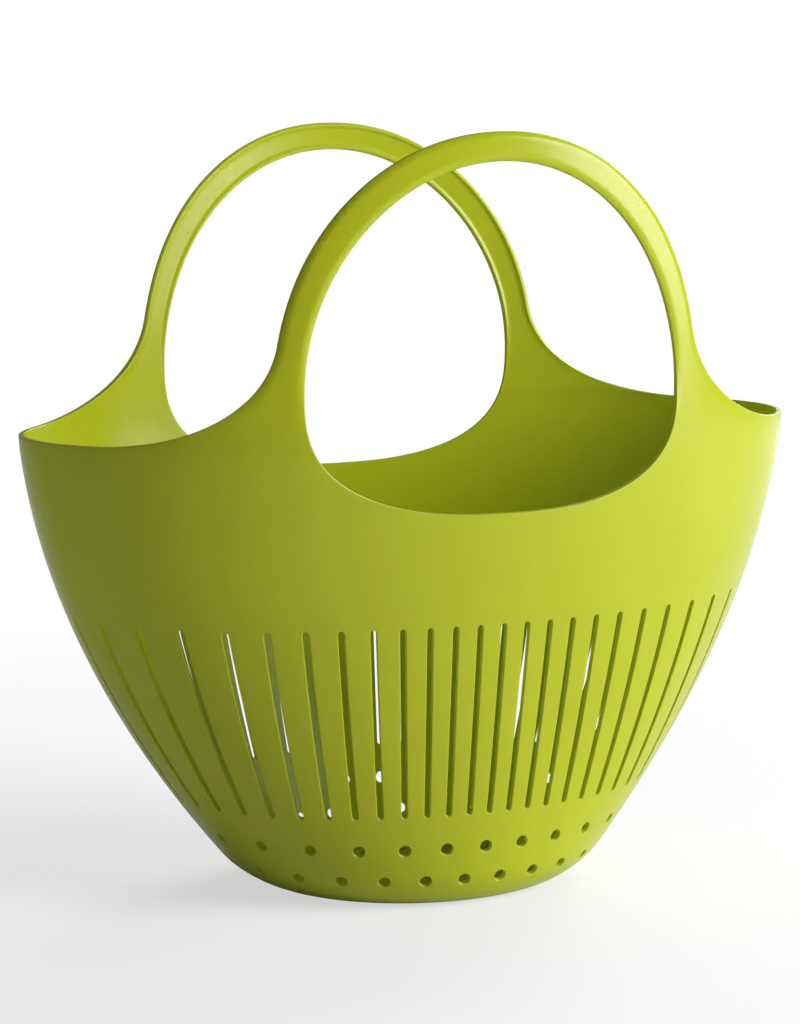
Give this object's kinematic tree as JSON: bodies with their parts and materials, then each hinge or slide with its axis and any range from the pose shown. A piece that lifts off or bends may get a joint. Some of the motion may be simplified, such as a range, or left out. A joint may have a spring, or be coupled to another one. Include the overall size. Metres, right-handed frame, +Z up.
{
  "type": "fruit picking basket",
  "caption": "Oval moulded plastic picking basket with slotted sides, drain holes near the base and two flexible loop handles that fold in.",
  "frame": {"origin": "centre of the footprint, on the face that the basket stands on", "axes": "+X along the rim's long axis, +Y from the front handle to the rear handle, +Z up"},
  "size_m": [0.38, 0.2036, 0.355],
  "materials": {
    "lime_plastic": "satin moulded, lightly grained"
  },
  "bodies": {
    "shell": {"drain_floor": "lime_plastic", "drain_band": "lime_plastic", "slotted_wall": "lime_plastic", "plain_band": "lime_plastic", "left_end_wall": "lime_plastic", "right_end_wall": "lime_plastic"},
    "front_loop": {"front_handle": "lime_plastic"},
    "rear_loop": {"rear_handle": "lime_plastic"}
  },
  "joints": [
    {"name": "front_handle_flex", "type": "hinge", "parent": "shell", "child": "front_loop", "pos_m": [0, -0.08027, 0.24], "axis": [-1, 0, 0], "range_deg": [0, 40], "stiffness_Nm_per_rad": 1.2},
    {"name": "rear_handle_flex", "type": "hinge", "parent": "shell", "child": "rear_loop", "pos_m": [0, 0.08027, 0.24], "axis": [1, 0, 0], "range_deg": [0, 40], "stiffness_Nm_per_rad": 1.2}
  ]
}
